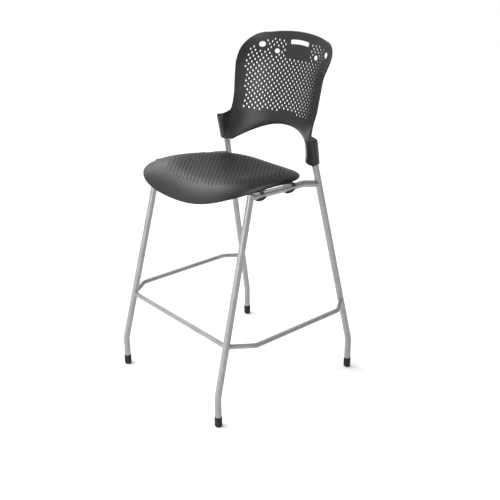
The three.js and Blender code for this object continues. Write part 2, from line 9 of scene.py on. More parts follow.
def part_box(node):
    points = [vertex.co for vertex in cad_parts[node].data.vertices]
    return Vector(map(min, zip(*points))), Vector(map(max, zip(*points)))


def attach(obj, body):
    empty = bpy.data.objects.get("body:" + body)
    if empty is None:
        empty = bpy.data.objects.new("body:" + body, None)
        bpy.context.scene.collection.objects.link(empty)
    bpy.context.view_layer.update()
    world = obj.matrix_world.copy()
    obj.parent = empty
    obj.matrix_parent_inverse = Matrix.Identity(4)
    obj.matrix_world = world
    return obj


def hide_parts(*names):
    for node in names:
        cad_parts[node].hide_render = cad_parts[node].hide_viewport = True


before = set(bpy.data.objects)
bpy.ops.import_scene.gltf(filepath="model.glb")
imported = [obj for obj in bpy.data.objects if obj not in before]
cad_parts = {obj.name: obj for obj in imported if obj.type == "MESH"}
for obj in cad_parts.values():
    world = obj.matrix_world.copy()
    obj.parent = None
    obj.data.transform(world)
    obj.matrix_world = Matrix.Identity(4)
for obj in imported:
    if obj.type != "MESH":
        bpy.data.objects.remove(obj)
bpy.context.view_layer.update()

MM = 0.001
SIDES = (("left", 1.0), ("right", -1.0))
ROWS = ("front", "rear")
rng = np.random.default_rng(7)


# ---- places from the CAD nodes ----
def node_box(node):
    low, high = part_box(node)
    return np.array(low) / MM, np.array(high) / MM


def node_centre(node):
    low, high = node_box(node)
    return (low + high) / 2


BACK_HIGH = node_box("back_shell")[1]
SEAT_HIGH = node_box("seat_shell")[1]
FRONT_GLIDE = node_centre("left_front_foot_glide")
REAR_GLIDE = node_centre("left_rear_foot_glide")
FOOT_BAR = node_centre("front_foot_bar")
FOOT_BAR_LOW, FOOT_BAR_HIGH = node_box("front_foot_bar")
STRETCHER_LOW, STRETCHER_HIGH = node_box("left_side_stretcher")
CROSS_TUBES = {row: node_centre(f"{row}_seat_cross_tube") for row in ROWS}
PLUG = node_centre("left_upright_end_plug")

LEG_RADIUS = 11.0
BAR_RADIUS = (FOOT_BAR_HIGH[2] - FOOT_BAR_LOW[2]) / 2
CROSS_RADIUS = 9.5
SHELL = 4.2  # wall of the two moulded shells


# ---- materials ----
NOISE_LOW, NOISE_HIGH = 0.3, 0.7  # the part of a noise's range that is spread over a material's tones


def noise_node(tree, coords, scale, detail=4.0):
    node = tree.nodes.new("ShaderNodeTexNoise")
    node.inputs["Scale"].default_value = scale
    node.inputs["Detail"].default_value = detail
    tree.links.new(coords.outputs["Object"], node.inputs["Vector"])
    return node


def mapped(tree, source, low, high):
    node = tree.nodes.new("ShaderNodeMapRange")
    node.inputs["From Min"].default_value = NOISE_LOW
    node.inputs["From Max"].default_value = NOISE_HIGH
    node.inputs["To Min"].default_value = low
    node.inputs["To Max"].default_value = high
    tree.links.new(source, node.inputs["Value"])
    return node


def surface(name, dark, light, rough, metallic, grain, grain_depth, specular=0.5, blotch=35.0):
    """A material whose colour drifts between two tones, with fine grain in its bump and roughness."""
    material = bpy.data.materials.new(name)
    material.use_nodes = True
    tree = material.node_tree
    shader = tree.nodes["Principled BSDF"]
    shader.inputs["Metallic"].default_value = metallic
    shader.inputs["Specular IOR Level"].default_value = specular
    coords = tree.nodes.new("ShaderNodeTexCoord")
    broad = noise_node(tree, coords, blotch)
    ramp = tree.nodes.new("ShaderNodeValToRGB")
    for stop, position, tone in zip(ramp.color_ramp.elements, (NOISE_LOW, NOISE_HIGH), (dark, light)):
        stop.position = position
        stop.color = (*tone, 1)
    tree.links.new(broad.outputs["Fac"], ramp.inputs["Fac"])
    tree.links.new(ramp.outputs["Color"], shader.inputs["Base Color"])
    fine = noise_node(tree, coords, grain, 2.0)
    worn = mapped(tree, fine.outputs["Fac"], rough[0], rough[1])
    tree.links.new(worn.outputs["Result"], shader.inputs["Roughness"])
    bump = tree.nodes.new("ShaderNodeBump")
    bump.inputs["Strength"].default_value = 0.6
    bump.inputs["Distance"].default_value = grain_depth * MM
    tree.links.new(fine.outputs["Fac"], bump.inputs["Height"])
    tree.links.new(bump.outputs["Normal"], shader.inputs["Normal"])
    return material


POWDER = surface("silver_powder_coat", dark=(0.265, 0.267, 0.27), light=(0.32, 0.322, 0.325),
                 rough=(0.32, 0.44), metallic=0.4, grain=900, grain_depth=0.05)
PLASTIC = surface("charcoal_shell_plastic", dark=(0.0125, 0.012, 0.013), light=(0.0165, 0.016, 0.017),
                  rough=(0.36, 0.46), metallic=0.0, grain=1500, grain_depth=0.05, specular=0.36)
NYLON = surface("black_nylon", dark=(0.010, 0.010, 0.011), light=(0.016, 0.016, 0.017),
                rough=(0.45, 0.6), metallic=0.0, grain=1100, grain_depth=0.06)
RUBBER = surface("black_rubber", dark=(0.008, 0.008, 0.008), light=(0.014, 0.014, 0.014),
                 rough=(0.62, 0.8), metallic=0.0, grain=800, grain_depth=0.10, specular=0.35)
ZINC = surface("zinc_screw", dark=(0.42, 0.43, 0.44), light=(0.55, 0.56, 0.57),
               rough=(0.25, 0.42), metallic=0.95, grain=1300, grain_depth=0.03)
WELD = surface("painted_weld", dark=(0.33, 0.335, 0.34), light=(0.40, 0.405, 0.41),
               rough=(0.36, 0.5), metallic=0.55, grain=700, grain_depth=0.12)
FLOOR = surface("pale_floor", dark=(0.94, 0.94, 0.94), light=(0.96, 0.96, 0.96),
                rough=(0.85, 0.95), metallic=0.0, grain=40, grain_depth=0.05, specular=0.0, blotch=2.0)


# ---- meshes ----
class Pile:
    """Points in millimetres, their faces, and a normal for each point where one is known."""

    def __init__(self):
        self.points = []
        self.faces = []
        self.normals = []

    def add(self, points, faces, normals=None):
        start = len(self.points)
        self.points.extend(np.asarray(points, float).tolist())
        self.faces.extend([tuple(i + start for i in face) for face in faces])
        blank = [(0.0, 0.0, 0.0)] * len(points)
        self.normals.extend(blank if normals is None else np.asarray(normals, float).tolist())

    def make(self, name, material, stands_for=(), sharp=None):
        mesh = bpy.data.meshes.new(name)
        mesh.from_pydata([(x * MM, y * MM, z * MM) for x, y, z in self.points], [], self.faces)
        mesh.materials.append(material)
        mesh.polygons.foreach_set("use_smooth", [True] * len(mesh.polygons))
        if sharp:
            mesh.set_sharp_from_angle(angle=math.radians(sharp))
        mesh.update()
        if any(any(normal) for normal in self.normals):
            given = [Vector(normal) for normal in self.normals]
            own = [vertex.normal.copy() for vertex in mesh.vertices]
            kept = [g if g.length else o for g, o in zip(given, own)]
            mesh.normals_split_custom_set_from_vertices(kept)
        piece = bpy.data.objects.new(name, mesh)
        bpy.context.scene.collection.objects.link(piece)
        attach(piece, "root")
        if stands_for:
            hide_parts(*stands_for)
        return piece


def unit(vector):
    vector = np.asarray(vector, float)
    return vector / np.linalg.norm(vector, axis=-1, keepdims=True)


def smooth_step(low, high, value):
    t = np.clip((value - low) / (high - low), 0, 1)
    return t * t * (3 - 2 * t)


def soft_min(a, b, blend):
    h = np.clip(0.5 + (b - a) / (2 * blend), 0, 1)
    return b + (a - b) * h - blend * h * (1 - h)


def rounded(corners, radii, steps=6, closed=False):
    """A line through the corners, with an arc of the given radius at each inner corner. 2-D or 3-D."""
    corners = [np.asarray(corner, float) for corner in corners]
    count = len(corners)
    line = [] if closed else [corners[0]]
    for i in range(0 if closed else 1, count if closed else count - 1):
        before, here, after = corners[i - 1], corners[i], corners[(i + 1) % count]
        radius = radii[i] if hasattr(radii, "__len__") else radii
        incoming, outgoing = unit(here - before), unit(after - here)
        turn = math.acos(float(np.clip(incoming @ outgoing, -1, 1)))
        if radius <= 0 or turn < 1e-3:
            line.append(here)
            continue
        start = here - incoming * radius * math.tan(turn / 2)
        inward = unit(outgoing - incoming * (incoming @ outgoing))
        for k in range(steps + 1):
            angle = turn * k / steps
            sideways, forward = 1 - math.cos(angle), math.sin(angle)
            line.append(start + inward * radius * sideways + incoming * radius * forward)
    if not closed:
        line.append(corners[-1])
    return np.array(line)


def ring_faces(rows, sides, closed=False):
    faces = []
    for i in range(rows if closed else rows - 1):
        for k in range(sides):
            a, b = i * sides + k, i * sides + (k + 1) % sides
            c, d = ((i + 1) % rows) * sides + (k + 1) % sides, ((i + 1) % rows) * sides + k
            faces.append((a, b, c, d))
    return faces


def end_faces(rows, sides):
    """The two flat ends of a stack of rings."""
    return [tuple(reversed(range(sides))), tuple(range((rows - 1) * sides, rows * sides))]


def handed(faces, sign):
    """Faces drawn for the right side, turned over for the left one."""
    return [face if sign < 0 else face[::-1] for face in faces]


def round_section(angles, spoke, across):
    return np.cos(angles)[:, None] * spoke + np.sin(angles)[:, None] * across


def tube(pile, line, radius, sides=36, closed=False):
    """A round section carried along a line. radius is a number or one number a station."""
    line = np.asarray(line, float)
    count = len(line)
    radii = np.broadcast_to(np.asarray(radius, float), (count,))
    if closed:
        tangents = unit(np.roll(line, -1, 0) - np.roll(line, 1, 0))
    else:
        tangents = unit(np.vstack([line[1] - line[0], line[2:] - line[:-2], line[-1] - line[-2]]))
    spoke = np.cross(tangents[0], (0, 0, 1) if abs(tangents[0][2]) < 0.9 else (0, 1, 0))
    points = []
    angles = np.linspace(0, 2 * math.pi, sides, endpoint=False)
    for station, tangent, size in zip(line, tangents, radii):
        spoke = unit(spoke - tangent * (spoke @ tangent))
        across = np.cross(tangent, spoke)
        points.append(station + size * round_section(angles, spoke, across))
    faces = ring_faces(count, sides, closed)
    if not closed:
        faces += end_faces(count, sides)
    pile.add(np.vstack(points), faces)


def turned(pile, profile, base, direction, sides=40):
    """A profile of (radius, height) corners spun about an axis. Its ends close on the axis."""
    direction = unit(direction)
    side = unit(np.cross(direction, (0.3, 0.9, 0.1)))
    across = np.cross(direction, side)
    angles = np.linspace(0, 2 * math.pi, sides, endpoint=False)
    section = round_section(angles, side, across)
    rings = [np.asarray(base, float) + direction * height + max(radius, 0.01) * section
             for radius, height in profile]
    pile.add(np.vstack(rings), ring_faces(len(rings), sides) + end_faces(len(rings), sides))


def mirror(points, sign):
    return np.asarray(points, float) * (sign, 1, 1)


# ---- frame lines ----
CAP_RISE = 8.0  # the cap's highest point above the leg's end
RAIL_DROP = 8.0  # the rail's axis below the leg's end
TUBE_FOOT_Z = 4.0  # the tubes end this high, inside their glides
KINK_BEND = 90  # bend radii at the tubes' middle lines
RAIL_BEND = 40
STRETCHER_BEND = 30
STRETCHER_FRONT_Y, STRETCHER_REAR_Y = -175.0, 196.0  # its two corners
FRONT_KINK_RISE, REAR_KINK_RISE = 103.0, 107.6  # the bends above the tubes' feet
SLEEVE_UP = 676.2  # the sleeve's foot along the upright, from its bend
SLEEVE_LENGTH = 92.0
UPRIGHT_INSIDE, PLUG_INSIDE = 74, 74.2  # how far up the sleeve the upright ends and its plug sits
LEG_TOP_Z = node_box("left_leg_top_cap")[1][2] - CAP_RISE
FRONT_FOOT = np.array([FRONT_GLIDE[0], FRONT_GLIDE[1], TUBE_FOOT_Z])
FRONT_KINK = FRONT_FOOT + (0, 0, FRONT_KINK_RISE)
# the rail's line: on the leg, at its bend, and on the upright
RAIL_FRONT = np.array([FRONT_GLIDE[0] - 23.7, FOOT_BAR[1] + 116.1, LEG_TOP_Z - RAIL_DROP])
RAIL_REAR = RAIL_FRONT + (-16.2, 240.1, -12.8)
RAIL_END = RAIL_REAR + (6.5, 62.1, -11.8)
LEG_WAY, RAIL_WAY = RAIL_FRONT - FRONT_KINK, RAIL_REAR - RAIL_FRONT
REAR_FOOT = np.array([REAR_GLIDE[0], REAR_GLIDE[1], TUBE_FOOT_Z])
REAR_KINK = REAR_FOOT + (0, 0, REAR_KINK_RISE)
UPRIGHT = unit(PLUG - REAR_KINK)
SLEEVE_FOOT = REAR_KINK + UPRIGHT * SLEEVE_UP


def on_leg(z):
    return FRONT_KINK + LEG_WAY * (z - FRONT_KINK[2]) / LEG_WAY[2]


def on_upright(z):
    return REAR_KINK + UPRIGHT * (z - REAR_KINK[2]) / UPRIGHT[2]


def on_rail(y):
    return RAIL_FRONT + RAIL_WAY * (y - RAIL_FRONT[1]) / RAIL_WAY[1]


BEAD_STEPS, BEAD_SIZE, BEAD_INSET = 56, 1.5, 0.3


def weld_bead(pile, bar_end, bar_direction, bar_radius, tube_point, tube_direction):
    """A rippled ring where a bar meets the surface of a tube of the leg's size."""
    bar_direction, tube_direction = unit(bar_direction), unit(tube_direction)
    side = unit(np.cross(bar_direction, tube_direction))
    across = np.cross(bar_direction, side)
    ring = []
    for angle in np.linspace(0, 2 * math.pi, BEAD_STEPS, endpoint=False):
        start = bar_end + bar_radius * (math.cos(angle) * side + math.sin(angle) * across)
        offset = start - tube_point
        offset = offset - tube_direction * (offset @ tube_direction)
        heading = bar_direction - tube_direction * (bar_direction @ tube_direction)
        a, b = heading @ heading, offset @ heading
        c = offset @ offset - LEG_RADIUS ** 2
        travel = (-b - math.sqrt(max(b * b - a * c, 0))) / a
        ring.append(start + bar_direction * travel)
    ripple = 1 + 0.13 * np.sin(np.arange(BEAD_STEPS) * 2 * math.pi / 4)
    ripple = ripple + rng.uniform(-0.05, 0.05, BEAD_STEPS)
    tube(pile, ring, BEAD_SIZE * ripple, 10, closed=True)


OUTWARD, UP = np.array([1.0, 0, 0]), (0, 0, 1)
STRETCHER_Z = (STRETCHER_LOW[2] + STRETCHER_HIGH[2]) / 2
STRETCHER_X = STRETCHER_HIGH[0] - BAR_RADIUS
STRETCHER_ENDS = on_leg(STRETCHER_Z), on_upright(STRETCHER_Z)
STRETCHER_CORNERS = [STRETCHER_ENDS[0], (STRETCHER_X, STRETCHER_FRONT_Y, STRETCHER_Z),
                     (STRETCHER_X, STRETCHER_REAR_Y, STRETCHER_Z), STRETCHER_ENDS[1]]
LEG_LINE = rounded([FRONT_FOOT, FRONT_KINK, on_leg(LEG_TOP_Z)], [0, KINK_BEND, 0], 10)
RAIL_LINE = rounded([RAIL_FRONT, RAIL_REAR, RAIL_END], [0, RAIL_BEND, 0], 10)
UPRIGHT_TOP = SLEEVE_FOOT + UPRIGHT * UPRIGHT_INSIDE
UPRIGHT_LINE = rounded([REAR_FOOT, REAR_KINK, UPRIGHT_TOP], [0, KINK_BEND, 0], 10)
STRETCHER_LINE = rounded(STRETCHER_CORNERS, [0, STRETCHER_BEND, STRETCHER_BEND, 0], 10)


def welded_joints():
    """The left side's welds: a bar's start, way and radius, then a tube's point and way."""
    front_end, rear_end = STRETCHER_ENDS
    front_corner, rear_corner = STRETCHER_CORNERS[1:3]
    middle = np.array([0, front_end[1], STRETCHER_Z])
    joints = [
        (front_corner, front_end - front_corner, BAR_RADIUS, front_end, LEG_WAY),
        (rear_corner, rear_end - rear_corner, BAR_RADIUS, rear_end, UPRIGHT),
        (middle, OUTWARD, BAR_RADIUS, front_end, LEG_WAY),
        (RAIL_REAR, RAIL_END - RAIL_REAR, LEG_RADIUS, RAIL_END, UPRIGHT),
        (RAIL_REAR, RAIL_FRONT - RAIL_REAR, LEG_RADIUS, RAIL_FRONT, LEG_WAY),
    ]
    for _, y, z in CROSS_TUBES.values():
        joints.append((np.array([0, y, z]), OUTWARD, CROSS_RADIUS, on_rail(y), RAIL_WAY))
    return joints


def frame_tube(name, node, lines, radius, sign=1.0):
    """One frame piece: a tube along each line, turned to the side that sign gives."""
    pile = Pile()
    for line in lines:
        tube(pile, mirror(line, sign), radius)
    pile.make(name, POWDER, [node], 40)


for side, sign in SIDES:
    frame_tube(f"{side}_leg_and_rail", f"{side}_leg_and_rail_tube", [LEG_LINE, RAIL_LINE], LEG_RADIUS,
               sign)
    frame_tube(f"{side}_rear_upright", f"{side}_rear_upright_tube", [UPRIGHT_LINE], LEG_RADIUS, sign)
    frame_tube(f"{side}_stretcher", f"{side}_side_stretcher", [STRETCHER_LINE], BAR_RADIUS, sign)
    beads = Pile()
    for start, way, size, target, target_way in welded_joints():
        weld_bead(beads, mirror(start, sign), mirror(way, sign), size - BEAD_INSET, mirror(target, sign),
                  mirror(target_way, sign))
    beads.make(f"{side}_weld_beads", WELD)

bar_end = on_leg(FOOT_BAR[2])
frame_tube("foot_bar", "front_foot_bar", [np.linspace(mirror(bar_end, -1), bar_end, 9)], BAR_RADIUS)

for row, (_, y, z) in CROSS_TUBES.items():
    ends = [np.array([sign * (on_rail(y)[0] - 3), y, z]) for sign in (-1, 1)]
    frame_tube(f"{row}_cross_tube", f"{row}_seat_cross_tube", [np.linspace(*ends, 9)], CROSS_RADIUS)


# ---- moulded shells: a flat map of outline and holes, laid on a front and a rear surface ----
def circle(a, b, radius_a, radius_b, count):
    angles = np.linspace(0, 2 * math.pi, count, endpoint=False)
    return np.stack([a + radius_a * np.cos(angles), b + radius_b * np.sin(angles)], 1)


def inside(points, loop):
    """Which 2-D points lie inside a closed loop, by counting crossings."""
    x, y = points[:, 0], points[:, 1]
    hit = np.zeros(len(points), bool)
    for (ax, ay), (bx, by) in zip(loop, np.roll(loop, -1, 0)):
        if ay == by:
            continue
        crosses = (ay > y) != (by > y)
        hit ^= crosses & (x < ax + (bx - ax) * (y - ay) / (by - ay))
    return hit


def offset_loop(loop, distance):
    """Moves a closed anticlockwise loop outward by a distance, or inward if it is negative."""
    along = unit(np.roll(loop, -1, 0) - np.roll(loop, 1, 0))
    return loop + distance * np.stack([along[:, 1], -along[:, 0]], 1)


def resample(loop, spacing):
    """The same closed loop, with its points evenly spaced."""
    closed = np.vstack([loop, loop[:1]])
    lengths = np.concatenate([[0], np.cumsum(np.linalg.norm(np.diff(closed, axis=0), axis=1))])
    count = int(lengths[-1] / spacing)
    wanted = np.linspace(0, lengths[-1], count, endpoint=False)
    return np.stack([np.interp(wanted, lengths, closed[:, axis]) for axis in (0, 1)], 1)


def triangulate(outline, holes, extra):
    """Flat points, the faces between outline and holes, and where each given point went."""
    loops = [outline] + holes
    points = np.vstack(loops + [extra])
    edges = []
    start = 0
    for loop in loops:
        count = len(loop)
        edges.extend((start + i, start + (i + 1) % count) for i in range(count))
        start += count
    result = delaunay_2d_cdt([Vector(point) for point in points], edges, [], 0, 1e-6)
    flat = np.array([tuple(point) for point in result[0]])
    faces = np.array(result[2])
    middle = flat[faces].mean(1)
    keep = inside(middle, outline)
    centres = np.array([hole.mean(0) for hole in holes])
    reach = np.array([np.linalg.norm(hole - hole.mean(0), axis=1).max() for hole in holes])
    for hole, centre, far in zip(holes, centres, reach):
        close = np.where(keep & (np.abs(middle - centre).max(1) < far))[0]
        keep[close[inside(middle[close], hole)]] = False
    corners = flat[faces]
    turn = np.cross(corners[:, 1] - corners[:, 0], corners[:, 2] - corners[:, 0])
    faces[turn < 0] = faces[turn < 0][:, ::-1]
    order = {}
    for new, old in enumerate(result[3]):
        for source in old:
            order[source] = new
    return flat, faces[keep], [order[i] for i in range(len(points))]


def normals_of(place, flat, facing, step=0.4):
    """Normals of a surface given by place(flat points), turned towards facing."""
    da = place(flat + (step, 0)) - place(flat - (step, 0))
    db = place(flat + (0, step)) - place(flat - (0, step))
    normals = unit(np.cross(da, db))
    return normals * np.sign(normals @ np.asarray(facing, float))[:, None]


RIM_STEPS = 8


def moulded(pile, outline, holes, extra, front, rear, rim_shape, facing, bevel):
    """One closed shell: two faces, rounded hole walls, and a rim whose section rim_shape gives."""
    flat, faces, order = triangulate(outline, holes, extra)
    used = np.unique(faces)
    lookup = -np.ones(len(flat), int)
    lookup[used] = np.arange(len(used))
    count = len(used)
    front_points, rear_points = front(flat[used]), rear(flat[used])
    points = [front_points, rear_points]
    normals = [normals_of(front, flat[used], facing), normals_of(rear, flat[used], [-f for f in facing])]
    first = lookup[faces]
    middle = front_points[first[:, 0]]
    cross = np.cross(front_points[first[:, 1]] - middle, front_points[first[:, 2]] - middle)
    flip = (cross @ np.asarray(facing, float)).sum() < 0
    if flip:
        first = first[:, ::-1]
    all_faces = first.tolist() + (first[:, ::-1] + count).tolist()
    total = 2 * count
    start = len(outline)
    for hole in holes:
        sides = len(hole)
        ids = np.array([lookup[order[start + i]] for i in range(sides)])
        start += sides
        inner = offset_loop(hole, -bevel)
        near, far = front(inner), rear(inner)
        thick = np.linalg.norm(far - near, axis=1, keepdims=True)
        cut = bevel / thick
        walls = [near + (far - near) * cut, far + (near - far) * cut]
        along = unit((far - near).mean(0))
        inward = (near.mean(0) + far.mean(0)) / 2 - (near + far) / 2
        inward = unit(inward - along * (inward @ along)[:, None])
        for wall in walls:
            points.append(wall)
            normals.append(inward)
        rows = [ids, total + np.arange(sides), total + sides + np.arange(sides), ids + count]
        total += 2 * sides
        for upper, lower in zip(rows[:-1], rows[1:]):
            for k in range(sides):
                nxt = (k + 1) % sides
                quad = (upper[k], upper[nxt], lower[nxt], lower[k])
                all_faces.append(quad if not flip else quad[::-1])
    sides = len(outline)
    ids = np.array([lookup[order[i]] for i in range(sides)])
    section = rim_shape(outline, front_points[ids], rear_points[ids])
    along = np.roll(section, -1, 1) - np.roll(section, 1, 1)
    down = np.vstack([section[1:2] - section[:1], section[2:] - section[:-2],
                      section[-1:] - section[-2:-1]])
    rim_normals = unit(np.cross(along, down))
    outward = section[len(section) // 2] - (section[0] + section[-1]) / 2
    if (rim_normals[len(section) // 2] * outward).sum() < 0:
        rim_normals = -rim_normals
    rows = [ids]
    for j in range(1, len(section) - 1):
        points.append(section[j])
        normals.append(rim_normals[j])
        rows.append(total + np.arange(sides))
        total += sides
    rows.append(ids + count)
    for upper, lower in zip(rows[:-1], rows[1:]):
        for k in range(sides):
            nxt = (k + 1) % sides
            quad = (upper[k], lower[k], lower[nxt], upper[nxt])
            all_faces.append(quad if not flip else quad[::-1])
    pile.add(np.vstack(points), all_faces, np.vstack(normals))


# ---- back shell ----
BACK_TOP = BACK_HIGH[2]
BACK_CORNER_Z = BACK_TOP - 12
BACK_SIDE_Z = BACK_TOP - 75
BACK_WAIST_Z = BACK_TOP - 252
BACK_FOOT_Z = BACK_TOP - 376
SLEEVE_TOP_Z = SLEEVE_FOOT[2] + SLEEVE_LENGTH * UPRIGHT[2]
BACK_HALF, BACK_TOP_HALF, BACK_WAIST_HALF = 212.0, 137.0, 198.0
ARCH_Z, ARCH_DROP, ARCH_HALF = BACK_TOP - 306, 74.0, 190.0
RECLINE = 0.2153
BACK_DATUM_Z = 1120  # the plate's depth is worked out from this height
BACK_CENTRE_Y = BACK_HIGH[1] - 4.11 - RECLINE * (BACK_TOP - BACK_DATUM_Z)
BOW, BOW_TOP, BOW_FOOT, BOW_ENDS = 0.00153, -0.00063, 0.00018, 1.2e-8  # how the plate bows across
LIP_DEPTH, LIP_WIDTH = 6.0, 30.0
ARCH_REACH = 186  # the arch's line ends this far from the middle, beside the sleeve


def arch_edge(x):
    return ARCH_Z - ARCH_DROP * (np.abs(x) / ARCH_HALF) ** 2.15


def plate_depth(x, z):
    """Depth of the sitter's face of the plain plate."""
    x = np.abs(x)
    bow = BOW + BOW_TOP * smooth_step(1030, 1125, z) + BOW_FOOT * (1 - smooth_step(890, 940, z))
    above_arch = np.clip(1 - (z - arch_edge(x)) / LIP_WIDTH, 0, 1.3)
    lip = LIP_DEPTH * above_arch ** 2 * (1 - smooth_step(105, 165, x))
    plain = BACK_CENTRE_Y + RECLINE * (z - BACK_DATUM_Z) - bow * x * x - BOW_ENDS * x ** 4 + lip
    flush = sleeve_axis(z)[1] - sleeve_sizes(z)[0] / UPRIGHT[2] - 1.0
    return np.where(z < SLEEVE_TOP_Z + 60, -soft_min(-plain, -flush, 9.0), plain)


def sleeve_axis(z):
    travel = (z - SLEEVE_FOOT[2]) / UPRIGHT[2]
    return SLEEVE_FOOT[0] + UPRIGHT[0] * travel, SLEEVE_FOOT[1] + UPRIGHT[1] * travel


def sleeve_sizes(z):
    """How far the sleeve reaches from the upright's axis: forward, rearward and sideways."""
    up = np.clip((z - SLEEVE_FOOT[2]) / UPRIGHT[2] / SLEEVE_LENGTH, 0, 1)
    return 15.5 + 1.5 * up, 14.5 + 13.0 * up, 14.5 + 5.0 * up


def sleeve_bulge(x, z, reach, skirt):
    """Half depth of the sleeve about its axis: round within, then falling along a straight skirt."""
    centre, _ = sleeve_axis(z)
    across = (np.abs(x) - centre) / sleeve_sizes(z)[2]
    edge = math.sqrt(1 - skirt ** 2)
    fall = edge - (np.abs(across) - skirt) * skirt / edge
    bulge = np.where(across > -skirt, np.sqrt(np.clip(1 - across ** 2, 0.0, 1)), fall)
    inner = smooth_step(-0.5, -1.2, across)
    above = 34 * smooth_step(SLEEVE_TOP_Z - 8 - 45 * inner, SLEEVE_TOP_Z + 26 + 10 * inner, z)
    return reach / UPRIGHT[2] * bulge - above - 3 * np.maximum(z - SLEEVE_TOP_Z - 14, 0)


def back_front(flat):
    x, z = flat[:, 0], flat[:, 1]
    _, axis_y = sleeve_axis(z)
    sleeve = axis_y - sleeve_bulge(x, z, sleeve_sizes(z)[0], 0.8)
    y = soft_min(plate_depth(x, z), sleeve, 14.0)
    return np.stack([x, y, z + mouth_slant(x, y, z)], 1)


def back_rear(flat):
    x, z = flat[:, 0], flat[:, 1]
    step = 0.5
    slope_x = (plate_depth(x + step, z) - plate_depth(x - step, z)) / (2 * step)
    slope_z = (plate_depth(x, z + step) - plate_depth(x, z - step)) / (2 * step)
    spread = SHELL * np.sqrt(1 + slope_x ** 2 + slope_z ** 2)
    _, axis_y = sleeve_axis(z)
    sleeve = axis_y + sleeve_bulge(x, z, sleeve_sizes(z)[1], 0.86)
    y = -soft_min(-(plate_depth(x, z) + spread), -sleeve, 7.0)
    return np.stack([x, y, z + mouth_slant(x, y, z)], 1)


def mouth_slant(x, y, z):
    """Tilts the sleeve's two ends square to the upright."""
    centre, axis_y = sleeve_axis(z)
    near = smooth_step(-30, -12, np.abs(x) - centre)
    up = (z - SLEEVE_FOOT[2]) / SLEEVE_LENGTH
    fade = 1 - smooth_step(SLEEVE_TOP_Z, SLEEVE_TOP_Z + 24, z)
    slope = np.where(up < 1, 0.21 - 0.39 * up, -0.18) * fade
    return slope * np.clip(y - axis_y, -22, 28) * near


def back_outline():
    """From the arch's middle around the sleeve and up the side to the top's middle, then mirrored."""
    xs = np.linspace(0, ARCH_REACH, 48)
    arch = np.stack([xs, arch_edge(xs)], 1)
    mouth_z = SLEEVE_FOOT[2] + 7
    mouth_x = sleeve_axis(mouth_z)[0] + sleeve_sizes(mouth_z)[2]
    top_x = sleeve_axis(SLEEVE_TOP_Z)[0] + sleeve_sizes(SLEEVE_TOP_Z)[2]
    waist_x = BACK_WAIST_HALF + 1.0
    bottom = rounded([arch[-1], (192, mouth_z), (mouth_x, mouth_z), (top_x, SLEEVE_TOP_Z),
                      (waist_x, SLEEVE_TOP_Z), (waist_x, BACK_WAIST_Z + 4)], [0, 5, 3, 4, 30, 0], 9)
    levels = np.linspace(BACK_WAIST_Z + 9, BACK_SIDE_Z, 30)
    rise = (levels - BACK_WAIST_Z) / (BACK_SIDE_Z - BACK_WAIST_Z)
    side = np.stack([BACK_WAIST_HALF + (BACK_HALF - BACK_WAIST_HALF) * rise ** 0.75, levels], 1)
    angles = np.linspace(0, math.pi / 2, 24)[1:]
    corner = np.stack([BACK_TOP_HALF + (BACK_HALF - BACK_TOP_HALF) * np.cos(angles),
                       BACK_SIDE_Z + (BACK_CORNER_Z - BACK_SIDE_Z) * np.sin(angles)], 1)
    xs = np.linspace(BACK_TOP_HALF, 0, 24)[1:]
    top = np.stack([xs, BACK_TOP - (BACK_TOP - BACK_CORNER_Z) * (xs / BACK_TOP_HALF) ** 2], 1)
    half = np.vstack([arch, bottom[1:], side, corner, top])
    loop = np.vstack([half, (half * (-1, 1))[::-1][1:-1]])
    loop = resample(loop, 1.2)
    for _ in range(6):
        loop = (np.roll(loop, 1, 0) + 2 * loop + np.roll(loop, -1, 0)) / 4
    return resample(loop, 2.6)


RIM = SHELL / 2


def rim_frame(outline, front_points, rear_points, plan):
    """The rim's middle, half thickness, way through, way out, and the flat outline's way out."""
    middle = (front_points + rear_points) / 2
    across = rear_points - front_points
    half = np.linalg.norm(across, axis=1, keepdims=True) / 2
    thick_way = across / (2 * half)
    outward = unit(np.cross(np.roll(middle, -1, 0) - np.roll(middle, 1, 0), thick_way))
    flat_out = offset_loop(outline, 1.0) - outline
    outward *= np.sign((outward[:, plan] * flat_out).sum(1))[:, None]
    return middle, half, thick_way, outward, flat_out


def back_rim(outline, front_points, rear_points):
    """A half round on the plate; on the sleeves, a circle at the sides and nearly flat at the ends."""
    middle, half, thick_way, outward, flat_out = rim_frame(outline, front_points, rear_points, [0, 2])
    bulk = np.clip((half - RIM) / 9, 0, 1)
    power = 2 + 3.0 * bulk
    sideways = np.clip((np.abs(flat_out[:, :1]) - 0.6) / 0.3, 0, 1) * np.clip((half - 5) / 6, 0, 1)
    reach_flat = np.minimum(half, 3.2)
    corner = math.pi / 4
    section = []
    for j in range(RIM_STEPS + 1):
        angle = -math.pi / 2 + math.pi * j / RIM_STEPS
        s, c = math.sin(angle), abs(math.cos(angle))
        flat_end = middle + thick_way * half * np.sign(s) * abs(s) ** (2 / power)
        flat_end = flat_end + outward * reach_flat * c ** (2 / power)
        turn = corner * j / (RIM_STEPS / 2) - corner
        circle_end = middle + thick_way * half * math.sin(turn) / math.sin(corner)
        circle_end = circle_end + outward * half * (math.cos(turn) - math.cos(corner)) / math.sin(corner)
        section.append(flat_end * (1 - sideways) + circle_end * sideways)
    section[0], section[-1] = front_points, rear_points
    return np.array(section)


